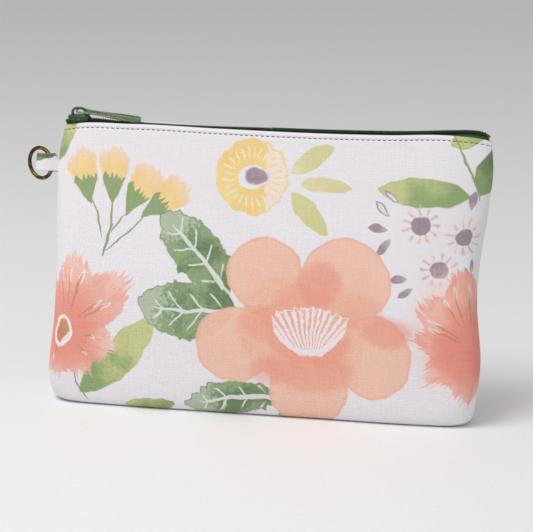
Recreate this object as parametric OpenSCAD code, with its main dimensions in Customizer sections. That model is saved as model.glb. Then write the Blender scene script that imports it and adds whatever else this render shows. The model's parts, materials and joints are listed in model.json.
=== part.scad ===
// Zip-top makeup bag: a wedge of printed cotton canvas with a flat base, a coil zip along
// the whole top and a small fabric loop that holds a metal ring on the left seam.
//
// Frame: +X runs along the zip to the right, -Y is the front, +Z is up. The origin is the
// centre of the base, on the surface that the bag stands on. All sizes are millimetres.
//
// The front and back walls turn about the long edges of the base when the zip opens. The
// side wedges, the base and both ends of the zip stay still, so they form the fixed body.

/* [Pouch] */
// Width of the walls at the hem
top_w = 232; // [180:1:300]
// Width of the walls at the base
base_w = 226; // [170:1:290]
// Depth of the base from front to back
base_d = 56; // [36:1:80]
// Depth across the two hems
top_d = 16; // [15:1:24]
// Height of the hem above the surface
hem_h = 147; // [100:1:200]

/* [Cloth] */
// Thickness of the printed canvas
canvas_t = 1.0; // [0.6:0.1:1.4]
// Thickness of the padding between canvas and lining
padding_t = 0.6; // [0.4:0.1:1.0]
// Thickness of the lining
lining_t = 0.5; // [0.3:0.1:0.6]
// Length of one hem stitch
stitch_length = 2.0; // [1.4:0.1:2.4]
// Distance from one hem stitch to the next
stitch_pitch = 2.7; // [2.6:0.1:4]
// Distance of the hem stitches below the edge
stitch_drop = 2.8; // [2:0.1:5]

/* [Zip] */
// Thickness of the zip tape
tape_t = 0.6; // [0.4:0.1:0.8]
// Width of one half of the closed coil
coil_half_w = 2.8; // [2.4:0.1:3.2]
// Height of the coil above the tape
coil_h = 1.8; // [1.4:0.1:2.2]
// Height of the tape's upper face above the hem
tape_rise = 0.9; // [0.8:0.1:2]
// Half length of the stretch of zip that parts
moving_half = 70; // [50:1:72]

/* [Slider] */
// Length of the slider body
slider_l = 11.5; // [10:0.5:12]
// Width of the slider body
slider_w = 9.2; // [9:0.1:9.6]
// Centre of the slider along X when the zip is closed
slider_x = -105.5; // [-106:0.5:-104]
// Length of the pull tab from its hinge
pull_l = 34; // [24:0.5:36]
// Greatest width of the pull tab
pull_w = 6.4; // [5.6:0.1:8]

/* [Side loop and ring] */
// Height of the middle of the loop above the surface
loop_z = 125; // [90:1:130]
// Width of the loop's folded strip
loop_w = 10.4; // [8:0.1:10.4]
// Thickness of one layer of the loop
loop_t = 0.9; // [0.6:0.1:1.0]
// Length of the loop from the seam to the fold
loop_l = 14.8; // [14:0.1:16]
// Radius of the ring to the middle of its wire
ring_r = 8.2; // [8.2:0.1:10]
// Thickness of the ring's wire
wire_d = 2.1; // [1.6:0.1:2.1]
// Turn of the ring towards the back when the bag rests
ring_turn = 25; // [0:1:30]

/* [Hidden] */
$fn = 48;
gap = 0.3;       // clearance between bodies that move past each other
overlap = 0.05;  // depth by which joined solids run into each other

// Walls: each one leans in by lean and measures wall_l up its slope.
lean = atan((base_d - top_d) / 2 / hem_h);
wall_l = hem_h / cos(lean);
wall_t = canvas_t + padding_t + lining_t;
wall_depth = wall_t / cos(lean);
base_t = wall_t;
side_lean = atan((top_w - base_w) / 2 / hem_h);
side_t = canvas_t + lining_t;

// Zip levels.
tape_z = hem_h + tape_rise;
coil_top = tape_z + coil_h;
side_l = (tape_z - tape_t) / cos(side_lean);
centre_gap = 0.55;      // from the zip's middle plane to the coil, room for the slider's post
tape_inner = 0.7;       // distance of the tape's edge from the zip's middle plane
tape_leg = 8;           // depth of tape sewn in below the hem
wall_inner_top = top_d / 2 - wall_depth;
zip_end = top_w / 2 - 0.2;

// Slider levels, up from the coil.
plate_t = 1.1;
plate_under = coil_top + gap;
plate_top = plate_under + plate_t;
bottom_plate_t = 0.9;
bridge_w = 2.2;
bridge_t = 1.0;
bridge_l = 9;
bridge_h = 4.5;
hinge_z = plate_top + 2.6;
hinge_x = slider_x + 0.4;

// Pull tab.
eye_bar_r = 0.65;
eye_w = 5.6;
eye_slot_w = 3.2;
eye_slot_l = 5;
pull_t = 1.1;
pull_lift = 0.6;        // height of the pull's tip above the coil
pull_rest = asin((hinge_z - coil_top - pull_lift - pull_t / 2) / pull_l);

// Side loop and ring. The loop is a strip folded round the ring, and its two layers meet
// at the seam. The ring swings about a vertical line inside the loop.
seam_x = -(base_w / 2 + (top_w - base_w) / 2 * loop_z / hem_h);
loop_root_x = seam_x - 2 * gap - loop_t;
loop_fold_x = seam_x - loop_l;
loop_half_gap = 2.4;
loop_outer = loop_half_gap + loop_t;
loop_wide_x = loop_root_x - 4.5;
swing_x = seam_x - 7;
swing_offset = 1.6;     // distance of that line from the middle of the nearest wire
ring_z = loop_z - 1;

function half_width(v) = base_w / 2 + (top_w - base_w) / 2 * v / wall_l;
function side_half_depth(z) = base_d / 2 - wall_depth - gap - z * tan(lean);

// A plate of a wall, from depth d0 to d1 behind the wall's outer face and from height v0
// to v1 up its slope. It belongs to the front wall.
module wall_plate(d0, d1, v0, v1, inset = 0)
    translate([0, -base_d / 2, 0])
        rotate([90 - lean, 0, 0])
            translate([0, 0, -d1])
                linear_extrude(d1 - d0)
                    polygon([[-half_width(v0) + inset, v0], [half_width(v0) - inset, v0],
                        [half_width(v1) - inset, v1], [-half_width(v1) + inset, v1]]);

// A plate of the right side wedge, from depth d0 to d1 behind its outer face and from
// height v0 to v1.
module side_plate(d0, d1, v0, v1)
    translate([base_w / 2, 0, 0])
        rotate([0, side_lean, 0])
            rotate([90, 0, 90])
                translate([0, 0, -d1])
                    linear_extrude(d1 - d0)
                        polygon([[-side_half_depth(v0), v0], [side_half_depth(v0), v0],
                            [side_half_depth(v1), v1], [-side_half_depth(v1), v1]]);

// A rectangular base layer between heights z0 and z1.
module base_layer(z0, z1, inset)
    translate([-base_w / 2 + inset, -side_half_depth(base_t), z0])
        cube([base_w - 2 * inset, 2 * side_half_depth(base_t), z1 - z0]);

// ---- fixed body ----

module base_canvas()
    color("#f2e6e6") base_layer(0, canvas_t, 0);

module base_padding()
    color("#f7f7f2") base_layer(canvas_t, canvas_t + padding_t, side_t + gap);

module base_lining()
    color("#efe9dd") base_layer(canvas_t + padding_t, base_t, side_t + gap);

module right_side_canvas()
    color("#f2eef2") side_plate(0, canvas_t, canvas_t + overlap, side_l);

module left_side_canvas()
    mirror([1, 0, 0]) right_side_canvas();

module right_side_lining()
    color("#efe9dd") side_plate(canvas_t, side_t, canvas_t + overlap, side_l - 2);

module left_side_lining()
    mirror([1, 0, 0]) right_side_lining();

// The last stretch of both tapes beside the right side wedge.
module right_zip_tape_end()
    color("#4f7a4a")
        for (side = [0, 1])
            mirror([0, side, 0])
                translate([moving_half, tape_inner, tape_z - tape_t])
                    cube([zip_end - moving_half, wall_inner_top - 0.6 - tape_inner, tape_t]);

module left_zip_tape_end()
    mirror([1, 0, 0]) right_zip_tape_end();

// Section of one half of the coil, lying on its tape.
module coil_section()
    translate([centre_gap, 0])
        union() {
            translate([0, coil_h / 2]) square([coil_half_w - coil_h / 2, coil_h / 2]);
            translate([coil_half_w - coil_h / 2, coil_h / 2]) circle(coil_h / 2, $fn = 32);
            square([coil_half_w - coil_h / 2, coil_h / 2 + overlap]);
        }

// Coil from x0 to x1 on the back half of the zip.
module coil_bar(x0, x1)
    translate([x0, 0, tape_z])
        rotate([90, 0, 90])
            linear_extrude(x1 - x0)
                coil_section();

module right_zip_coil_end()
    color("#27402c")
        for (side = [0, 1])
            mirror([0, side, 0])
                coil_bar(moving_half, zip_end - 3);

module left_zip_coil_end()
    mirror([1, 0, 0]) right_zip_coil_end();

// Two small metal blocks at the closed end of the zip, one on each tape.
module zip_top_stops()
    color("#5d6b52")
        for (side = [0, 1])
            mirror([0, side, 0])
                translate([-zip_end, tape_inner, tape_z])
                    cube([1.6, 2, 1.4]);

// One staple across both tapes at the open end of the zip.
module zip_bottom_stop()
    color("#5d6b52")
        translate([zip_end - 2.8, -3, tape_z])
            cube([2, 6, 1.4]);

// ---- walls ----

module front_canvas()
    color("#f4f0f6") wall_plate(0, canvas_t, 0.3, wall_l);

module front_padding()
    color("#f7f7f2") wall_plate(canvas_t, canvas_t + padding_t, 4, wall_l - tape_leg - 1, 4);

module front_lining()
    color("#efe9dd") wall_plate(canvas_t + padding_t, wall_t, 2.5, wall_l - 1.5, 1);

// The moving stretch of one tape: a flat strip out to the wall and a leg sewn in between
// the canvas and the lining.
module front_zip_tape()
    color("#4f7a4a")
        union() {
            translate([-moving_half + gap, -wall_inner_top - 1, tape_z - tape_t])
                cube([2 * (moving_half - gap), wall_inner_top + 1 - tape_inner, tape_t]);
            intersection() {
                wall_plate(canvas_t, canvas_t + padding_t, wall_l - tape_leg,
                    wall_l + tape_rise);
                translate([-moving_half + gap, -base_d, 0])
                    cube([2 * (moving_half - gap), base_d, tape_z - overlap]);
            }
        }

module front_zip_coil()
    color("#27402c")
        mirror([0, 1, 0]) coil_bar(-moving_half + gap, moving_half - gap);

// A row of stitches that stand slightly proud of the wall's outer face.
module front_hem_stitches() {
    v = wall_l - stitch_drop;
    count = floor((2 * half_width(v) - 4) / stitch_pitch);
    color("#3d5240")
        translate([0, -base_d / 2, 0])
            rotate([90 - lean, 0, 0])
                for (i = [0 : count - 1])
                    translate([(i - (count - 1) / 2) * stitch_pitch - stitch_length / 2, v, 0])
                        cube([stitch_length, 0.45, 0.3]);
}

module back_canvas()
    mirror([0, 1, 0]) front_canvas();

module back_padding()
    mirror([0, 1, 0]) front_padding();

module back_lining()
    mirror([0, 1, 0]) front_lining();

module back_zip_tape()
    mirror([0, 1, 0]) front_zip_tape();

module back_zip_coil()
    mirror([0, 1, 0]) front_zip_coil();

module back_hem_stitches()
    mirror([0, 1, 0]) front_hem_stitches();

// ---- slider ----

// Outline of the slider from above, broad at the closing end on the left.
module slider_outline() {
    shoulder = slider_w / 2;
    waist = shoulder - 0.7;
    corner = 1.2;
    polygon([[-slider_l / 2, -shoulder + corner], [-slider_l / 2 + corner, -shoulder],
        [0, -shoulder], [slider_l / 2 - corner, -waist], [slider_l / 2, -waist + corner],
        [slider_l / 2, waist - corner], [slider_l / 2 - corner, waist], [0, shoulder],
        [-slider_l / 2 + corner, shoulder], [-slider_l / 2, shoulder - corner]]);
}

// Two plates and two side flanges round the coil, with a slot on each side for the tape.
// A thin post at the left end joins the plates and passes between the two coil halves.
module slider_body() {
    channel_half = coil_half_w + centre_gap + gap;
    under = tape_z - tape_t - gap;
    post = [3.5, 0.5];
    color("#4c6446")
        translate([slider_x, 0, 0]) {
            translate([0, 0, plate_under]) linear_extrude(plate_t) slider_outline();
            translate([0, 0, under - bottom_plate_t])
                linear_extrude(bottom_plate_t) slider_outline();
            translate([1 - slider_l / 2, -post[1] / 2, under - overlap])
                cube([post[0], post[1], plate_under - under + 2 * overlap]);
            for (side = [0, 1])
                mirror([0, side, 0]) {
                    translate([0, 0, tape_z + gap])
                        linear_extrude(plate_under - tape_z - gap + overlap)
                            intersection() {
                                slider_outline();
                                translate([-slider_l / 2, channel_half])
                                    square([slider_l, slider_w]);
                            }
                }
        }
}

// An arch over the slider that holds the pull tab's eye.
module slider_bridge() {
    inner_l = bridge_l - 2 * bridge_t;
    color("#3c4f38")
        translate([hinge_x, bridge_w / 2, plate_top])
            rotate([90, 0, 0])
                linear_extrude(bridge_w)
                    difference() {
                        union() {
                            translate([-bridge_l / 2 + 1, 0]) square([bridge_l - 2, bridge_h]);
                            translate([-bridge_l / 2, 0]) square([bridge_l, bridge_h - 1]);
                            for (side = [-1, 1])
                                translate([side * (bridge_l / 2 - 1), bridge_h - 1]) circle(1);
                        }
                        translate([-inner_l / 2, -1])
                            square([inner_l, bridge_h - bridge_t + 1]);
                    }
}

// ---- pull tab ----

// Plate of the pull, drawn flat with its hinge line on the Y axis.
module pull_outline()
    difference() {
        union() {
            translate([0, -eye_w / 2]) square([eye_slot_l + 1.2, eye_w]);
            polygon([[eye_slot_l, -eye_w / 2], [eye_slot_l + 3, -pull_w / 2 + 0.9],
                [pull_l * 0.55, -pull_w / 2], [pull_l - pull_w / 2, -pull_w / 2],
                [pull_l - pull_w / 2, pull_w / 2], [pull_l * 0.55, pull_w / 2],
                [eye_slot_l + 3, pull_w / 2 - 0.9], [eye_slot_l, eye_w / 2]]);
            translate([pull_l - pull_w / 2, 0]) circle(pull_w / 2);
        }
        translate([-1, -eye_slot_w / 2]) square([eye_slot_l + 1, eye_slot_w]);
    }

module pull_tab()
    color("#6c7d58")
        translate([hinge_x, 0, hinge_z])
            rotate([0, pull_rest, 0])
                union() {
                    translate([0, 0, -pull_t / 2]) linear_extrude(pull_t) pull_outline();
                    translate([0, eye_w / 2, 0])
                        rotate([90, 0, 0]) cylinder(r = eye_bar_r, h = eye_w);
                }

// ---- side loop ----

// Plan of the loop, drawn as the shape that an offset of extra leaves outside.
module loop_plan(extra)
    hull() {
        translate([loop_root_x, 0]) circle(0.1 + extra, $fn = 24);
        translate([loop_wide_x, 0]) circle(loop_half_gap + extra, $fn = 32);
        translate([loop_fold_x + loop_outer, 0])
            circle(loop_half_gap + extra, $fn = 32);
    }

module side_loop()
    color("#eef0ee")
        translate([0, 0, loop_z - loop_w / 2])
            linear_extrude(loop_w)
                difference() {
                    loop_plan(loop_t);
                    loop_plan(0);
                }

// Two rows of stitches along the edges of the loop's front and back layers.
module side_loop_stitches() {
    count = 4;
    start = loop_wide_x - 0.8;
    color("#6f8f80")
        for (side = [-1, 1], edge = [-1, 1], i = [0 : count - 1])
            translate([start - i * 2 - 1.4, side * (loop_outer + 0.1) - 0.1,
                loop_z + edge * (loop_w / 2 - 1.4) - 0.2])
                cube([1.4, 0.2, 0.4]);
}

// ---- ring ----

module ring()
    color("#6b5134")
        translate([swing_x, 0, ring_z])
            rotate([0, 0, -ring_turn])
                translate([-(ring_r - swing_offset), 0, 0])
                    rotate([90, 0, 0])
                        rotate_extrude() translate([ring_r, 0]) circle(wire_d / 2);

base_canvas();
base_padding();
base_lining();
left_side_canvas();
right_side_canvas();
left_side_lining();
right_side_lining();
left_zip_tape_end();
right_zip_tape_end();
left_zip_coil_end();
right_zip_coil_end();
zip_top_stops();
zip_bottom_stop();
front_canvas();
front_padding();
front_lining();
front_zip_tape();
front_zip_coil();
front_hem_stitches();
back_canvas();
back_padding();
back_lining();
back_zip_tape();
back_zip_coil();
back_hem_stitches();
slider_body();
slider_bridge();
pull_tab();
side_loop();
side_loop_stitches();
ring();
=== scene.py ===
"""Looks for the zipped makeup bag: printed canvas shell, lining, zip, slider, pull, side loop and ring.

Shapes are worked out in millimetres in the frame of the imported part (X along the bag, -Y the front,
+Z up) and turned into metres when a mesh is made.
"""

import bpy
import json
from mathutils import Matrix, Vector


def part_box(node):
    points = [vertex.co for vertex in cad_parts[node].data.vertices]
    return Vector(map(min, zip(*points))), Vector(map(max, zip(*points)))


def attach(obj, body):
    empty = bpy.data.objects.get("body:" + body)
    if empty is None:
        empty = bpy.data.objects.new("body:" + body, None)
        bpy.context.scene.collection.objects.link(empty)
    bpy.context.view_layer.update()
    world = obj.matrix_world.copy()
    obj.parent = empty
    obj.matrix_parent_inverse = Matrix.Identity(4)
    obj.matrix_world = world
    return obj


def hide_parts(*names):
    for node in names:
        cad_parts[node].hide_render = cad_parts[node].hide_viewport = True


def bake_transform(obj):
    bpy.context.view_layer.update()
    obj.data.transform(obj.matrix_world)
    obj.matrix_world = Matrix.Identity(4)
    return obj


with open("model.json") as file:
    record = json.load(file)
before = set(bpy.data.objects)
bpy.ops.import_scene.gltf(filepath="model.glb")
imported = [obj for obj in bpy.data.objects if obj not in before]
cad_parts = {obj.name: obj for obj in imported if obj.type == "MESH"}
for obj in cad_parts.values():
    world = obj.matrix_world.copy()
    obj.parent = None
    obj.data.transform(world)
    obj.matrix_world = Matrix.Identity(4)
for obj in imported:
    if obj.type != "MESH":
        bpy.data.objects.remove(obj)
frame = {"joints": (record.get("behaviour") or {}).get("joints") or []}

import copy
import json
import math

import bmesh
import bpy
import numpy as np
from mathutils import Matrix, Vector

MM = 0.001  # metres in a millimetre
LEFT, RIGHT = -1, 1
FRONT, BACK = -1, 1

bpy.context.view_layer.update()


# ---------------------------------------------------------------- sizes from the frame
def low(node):
    """Lowest corner of a CAD node, in mm."""
    return np.array(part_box(node)[0]) / MM


def high(node):
    """Highest corner of a CAD node, in mm."""
    return np.array(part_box(node)[1]) / MM


def joint_at(name):
    """Where a joint's axis passes, in mm."""
    joint = next(j for j in frame["joints"] if j["name"] == name)
    return np.array(joint["pos_m"]) / MM


HEM_Z = high("front_canvas")[2]
COIL_HALF = high("back_zip_coil")[1] - 0.5
STITCH_DROP = HEM_Z - (low("front_hem_stitches")[2] + high("front_hem_stitches")[2]) / 2
SLIDER_LOW, SLIDER_HIGH = low("slider_body"), high("slider_body")
BRIDGE_LOW, BRIDGE_HIGH = low("slider_bridge"), high("slider_bridge")
PULL_HINGE = joint_at("pull_flip")
PULL_LENGTH = high("pull_tab")[0] - PULL_HINGE[0]
LOOP_LOW, LOOP_HIGH = low("side_loop"), high("side_loop")
LOOP_MID_Z = (LOOP_LOW[2] + LOOP_HIGH[2]) / 2
RING_LOW, RING_HIGH = low("ring"), high("ring")

CANVAS = 1.0  # thickness of one layer of canvas
HEM_ROLL = 0.95  # radius of the turned-over top edge
LINING = 0.5
BASE_ROLL = 5.0  # radius of the soft bottom edge
UNDER = 13.0  # how far the walls reach in under the base
SHARP = 55  # edges that turn more than this many degrees are shaded as corners


# ---------------------------------------------------------------- small helpers
def spline(knots, at):
    """A smooth curve through (place, value) knots, read at one place or an array of places."""
    xs, ys = np.array(knots, float).T
    slopes = np.gradient(ys, xs)
    at = np.clip(at, xs[0], xs[-1])
    i = np.clip(np.searchsorted(xs, at, "right") - 1, 0, len(xs) - 2)
    h = xs[i + 1] - xs[i]
    t = (at - xs[i]) / h
    return (
        (2 * t**3 - 3 * t**2 + 1) * ys[i]
        + (t**3 - 2 * t**2 + t) * h * slopes[i]
        + (3 * t**2 - 2 * t**3) * ys[i + 1]
        + (t**3 - t**2) * h * slopes[i + 1]
    )


def ease(t):
    """0 below 0, 1 above 1, and a smooth rise between."""
    t = np.clip(t, 0, 1)
    return t * t * (3 - 2 * t)


def squared(value, power):
    """A power that keeps the value's sign, which turns a circle's sines into a squarer outline."""
    return math.copysign(abs(value) ** power, value)


def arc(start, end, count):
    """Angles in radians from start to end, given in degrees."""
    return np.radians(np.linspace(start, end, count))


def make_mesh(name, points, faces, uvs=None, flat_faces=()):
    """A smooth-shaded mesh object from points in mm. uvs holds each point's place on the cloth, in mm."""
    mesh = bpy.data.meshes.new(name)
    mesh.from_pydata((np.asarray(points, float) * MM).tolist(), [], [list(f) for f in faces])
    mesh.polygons.foreach_set("use_smooth", [True] * len(mesh.polygons))
    for i in flat_faces:
        mesh.polygons[i].use_smooth = False
    if uvs is not None:
        corners = np.zeros(len(mesh.loops), np.int32)
        mesh.loops.foreach_get("vertex_index", corners)
        layer = mesh.uv_layers.new(name="cloth")
        layer.data.foreach_set("uv", np.asarray(uvs, np.float32)[corners].ravel())
    mesh.validate()
    obj = bpy.data.objects.new(name, mesh)
    bpy.context.scene.collection.objects.link(obj)
    return obj


def grid_faces(rows, columns, wrap_rows=False, wrap_columns=False, start=0):
    """Quads of a grid of points numbered row by row."""
    faces = []
    for r in range(rows if wrap_rows else rows - 1):
        for c in range(columns if wrap_columns else columns - 1):
            a, b = r * columns, ((r + 1) % rows) * columns
            d = (c + 1) % columns
            faces.append((start + a + c, start + a + d, start + b + d, start + b + c))
    return faces


def end_caps(rows, columns):
    """Faces for both ends of a folded sheet, whose second half of rows mirrors the first."""
    faces = []
    for r in range(rows // 2 - 1):
        mirror = rows - 1 - r
        for column in (0, columns - 1):
            a, b = r * columns + column, (r + 1) * columns + column
            faces.append((a, b, (mirror - 1) * columns + column, mirror * columns + column))
    return faces


def face_outwards(obj):
    """Makes every face look away from the inside of its closed shell."""
    work = bmesh.new()
    work.from_mesh(obj.data)
    bmesh.ops.recalc_face_normals(work, faces=work.faces)
    work.to_mesh(obj.data)
    work.free()
    obj.data.set_sharp_from_angle(angle=math.radians(SHARP))
    return obj


def sweep(name, path, section, closed=False, across=(0.0, 0.13, 1.0), uvs=False):
    """A closed cross-section, points (sideways, up) in mm, carried along a path. across is any direction that
    the path never takes."""
    path, section = np.asarray(path, float), np.asarray(section, float)
    if closed:
        along = np.roll(path, -1, 0) - np.roll(path, 1, 0)
    else:
        along = np.gradient(path, axis=0)
    along /= np.linalg.norm(along, axis=1)[:, None]
    side = np.cross(along, across)
    side /= np.linalg.norm(side, axis=1)[:, None]
    up = np.cross(side, along)
    rings = path[:, None] + section[None, :, :1] * side[:, None] + section[None, :, 1:] * up[:, None]
    count, sides = len(path), len(section)
    faces = grid_faces(count, sides, wrap_rows=closed, wrap_columns=True)
    if not closed:
        faces += [tuple(range(sides))[::-1], tuple(range((count - 1) * sides, count * sides))]
    places = None
    if uvs:
        run = np.concatenate([[0], np.cumsum(np.linalg.norm(np.diff(path, axis=0), axis=1))])
        places = np.stack(np.broadcast_arrays(run[:, None], section[None, :, 1]), 2).reshape(-1, 2)
    return face_outwards(make_mesh(name, rings.reshape(-1, 3), faces, places))


def round_section(radius, sides=8):
    turn = np.linspace(0, 2 * math.pi, sides, endpoint=False)
    return radius * np.stack([np.cos(turn), np.sin(turn)], 1)


def boxy_section(half_wide, half_tall, sides=20, squareness=5):
    """A rounded rectangle as (sideways, up) points."""
    turn = np.linspace(0, 2 * math.pi, sides, endpoint=False) + math.pi / sides
    bend = 2 / squareness
    wide = np.sign(np.cos(turn)) * np.abs(np.cos(turn)) ** bend * half_wide
    tall = np.sign(np.sin(turn)) * np.abs(np.sin(turn)) ** bend * half_tall
    return np.stack([wide, tall], 1)


def plate(name, outlines, z_low, z_high, edge):
    """A flat plate with rounded edges from closed outlines in mm; the second and later ones are holes."""
    curve = bpy.data.curves.new(name, "CURVE")
    curve.dimensions = "2D"
    curve.fill_mode = "BOTH"
    curve.extrude = ((z_high - z_low) / 2 - edge) * MM
    curve.bevel_depth = edge * MM
    curve.bevel_resolution = 3
    curve.offset = -edge * MM
    for outline in outlines:
        line = curve.splines.new("POLY")
        line.points.add(len(outline) - 1)
        for point, (x, y) in zip(line.points, outline):
            point.co = (x * MM, y * MM, 0, 1)
        line.use_cyclic_u = True
    made = bpy.data.objects.new(name + "_outline", curve)
    bpy.context.scene.collection.objects.link(made)
    bpy.context.view_layer.update()
    mesh = bpy.data.meshes.new_from_object(made.evaluated_get(bpy.context.evaluated_depsgraph_get()))
    bpy.data.objects.remove(made)
    mesh.name = name
    mesh.transform(Matrix.Translation((0, 0, (z_low + z_high) / 2 * MM)))
    weld(mesh)
    return add_hard(name, mesh)


def add_hard(name, mesh):
    """Shades a hard piece's mesh smooth between its corners and puts it in the scene."""
    mesh.polygons.foreach_set("use_smooth", [True] * len(mesh.polygons))
    mesh.set_sharp_from_angle(angle=math.radians(SHARP))
    obj = bpy.data.objects.new(name, mesh)
    bpy.context.scene.collection.objects.link(obj)
    return obj


def weld(mesh):
    """Joins points that lie together and turns every face outwards."""
    work = bmesh.new()
    work.from_mesh(mesh)
    bmesh.ops.remove_doubles(work, verts=work.verts, dist=0.004 * MM)
    bmesh.ops.recalc_face_normals(work, faces=work.faces)
    work.to_mesh(mesh)
    work.free()


def joined(name, parts):
    """One object from several, in the order given."""
    work = bmesh.new()
    for part in parts:
        work.from_mesh(part.data)
        bpy.data.objects.remove(part)
    mesh = bpy.data.meshes.new(name)
    work.to_mesh(mesh)
    work.free()
    return add_hard(name, mesh)


def stitches(name, pairs, radius):
    """Separate stitches, each from point to point with its ends sunk in against its outward direction."""
    points, faces = [], []
    rings, sides = 7, 6
    for start, end, out in pairs:
        start, end, out = np.array(start, float), np.array(end, float), np.array(out, float)
        along = (end - start) / np.linalg.norm(end - start)
        out = out - along * (out @ along)
        out /= np.linalg.norm(out)
        side = np.cross(along, out)
        first = len(points)
        for share in np.linspace(0, 1, rings):
            swell = math.sin(0.12 + share * (math.pi - 0.24)) ** 0.45
            middle = start + (end - start) * share - out * (1 - swell) * radius * 2
            for a in arc(0, 360 - 360 / sides, sides):
                points.append(middle + radius * swell * (math.cos(a) * out + math.sin(a) * side))
        faces += grid_faces(rings, sides, wrap_columns=True, start=first)
        faces.append(tuple(first + k for k in range(sides)))
        faces.append(tuple(first + (rings - 1) * sides + k for k in range(sides)))
    return face_outwards(make_mesh(name, points, faces))


# ---------------------------------------------------------------- the bag's soft shape
# Each list is (height, value) in mm. The bag leans a little and its ends sag inwards above the base.
HALF_WIDTH = {
    LEFT: [
        (0, 118), (8, 119.5), (40, 117.6), (78, 117.8), (105, 118.0), (124, 117.4), (134, 116.4), (147, 113.4),
    ],
    RIGHT: [
        (0, 113), (8, 114.2), (32, 116), (54, 113.8), (75, 112), (90, 111.6), (110, 113.8), (132, 116),
        (147, 115),
    ],
}
HALF_DEPTH = [(0, 28.5), (8, 29.5), (30, 28), (60, 23.6), (90, 18), (120, 11.6), (140, 6.8), (147, 5.4)]
END_SQUARENESS = [(0, 14), (20, 20), (50, 16), (80, 10), (110, 8), (147, 7)]
SIDE_SQUARENESS = [(0, 3.6), (20, 4.6), (50, 4), (80, 2.9), (110, 2.3), (147, 2.2)]
REAR_SKEW = {LEFT: 0.04, RIGHT: 0.19}  # how far the rear fold leans in, per mm of depth, low down
# How much the top edge is lifted, as (x, rise) in mm
HEM_RISE = [
    (-114, -1.6), (-108, -0.2), (-75, 1.2), (-30, 0.5), (10, 0), (60, 0.4), (98, 1.2), (110, 0), (116, -1.4),
]
# Soft dents and swells of the wall: (x, z, half-size along x, half-size up, depth inwards)
DENTS = [
    (99, 92, 16, 26, 1.6),
    (80, 128, 9, 24, 0.5),
    (62, 60, 40, 40, -1.0),
    (-40, 55, 45, 40, -1.2),
    (-96, 70, 18, 40, 0.7),
    (10, 112, 60, 16, 0.6),
    (-80, 22, 14, 20, 0.9),
    (88, 24, 14, 18, 0.9),
]


def wall_row(side, face, z, inset, columns):
    """One level of a quarter of the bag: points (x, y) at even steps from the middle of the panel to the
    side seam, and each one's distance round the cloth from the middle."""
    width = spline(HALF_WIDTH[side], z) - inset
    depth = max(spline(HALF_DEPTH, z) - inset, 0.4)
    p = spline(END_SQUARENESS, z)
    q = spline(SIDE_SQUARENESS, z)
    corner_x = 0.5 ** (1 / p)
    corner_y = 0.5 ** (1 / q)
    along = np.linspace(0, corner_x, 260)
    inwards = np.linspace(corner_y, 0, 120)[1:]
    x = np.concatenate([along, (1 - inwards**q) ** (1 / p)]) * width
    y = np.concatenate([(1 - along**p) ** (1 / q), inwards]) * depth
    lean = REAR_SKEW[side] * (1 - ease((z - 55) / 50)) * (0.5 + 0.5 * face * y / depth) * y.max()
    x = x - 2 * lean * ease(x / width * 1.6 - 0.6)
    round_it = np.concatenate([[0], np.cumsum(np.hypot(np.diff(x), np.diff(y)))])
    steps = np.linspace(0, round_it[-1], columns)
    x = np.interp(steps, round_it, x)
    y = np.interp(steps, round_it, y)
    slope_x, slope_y = np.gradient(x), np.gradient(y)
    length = np.hypot(slope_x, slope_y)
    out_x, out_y = -slope_y / length, slope_x / length
    out_x[0], out_y[0] = 0, 1
    push = np.zeros(columns)
    for dent_x, dent_z, size_x, size_z, depth_in in DENTS:
        nearness = ((side * x - dent_x * -face) / size_x) ** 2 + ((z - dent_z) / size_z) ** 2
        push -= depth_in * np.exp(-nearness)
    push += 0.28 * np.sin(side * x / 13 + z / 31) * np.sin(z / 17 - side * x / 41)
    to_seam = round_it[-1] - steps
    push *= ease(to_seam / 12)
    push -= 0.45 * np.exp(-((to_seam / 0.9) ** 2))
    x, y = x + out_x * push, y + out_y * push
    x[0] = 0
    y = np.maximum(y, 0)
    y[-1] = 0
    return side * x, face * y, steps


def raised(x, z):
    """The height of the cloth once the top edge has been lifted and lowered along its length."""
    return z + spline(HEM_RISE, x) * ease((z - 95) / (HEM_Z - 95))


def levels(wall_step, inner_gap, top, top_roll):
    """Rows (height, inset) of a wall from under the base up its outside, then the same rows of its inside."""
    roll = arc(0, 90, 7)
    outside = [(0.35, UNDER), (0.15, UNDER - 3), (0.05, BASE_ROLL + 2)]
    outside += [(BASE_ROLL * (1 - math.cos(a)), BASE_ROLL * (1 - math.sin(a))) for a in roll]
    inner_roll = BASE_ROLL - inner_gap
    inside = [(0.35 + inner_gap, UNDER), (0.15 + inner_gap, UNDER - 3), (0.05 + inner_gap, BASE_ROLL + 2)]
    inside += [(BASE_ROLL - inner_roll * math.cos(a), BASE_ROLL - inner_roll * math.sin(a)) for a in roll]
    wall_top = top - top_roll
    for z in np.linspace(BASE_ROLL, wall_top, int((wall_top - BASE_ROLL) / wall_step))[1:]:
        outside.append((z, 0.0))
        inside.append((z, inner_gap))
    for a in arc(15, 80, 5):
        outside.append((wall_top + top_roll * math.sin(a), top_roll * (1 - math.cos(a))))
        inside.append((wall_top + top_roll * math.sin(a), top_roll * (1 + math.cos(a))))
    return outside, inside


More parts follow.
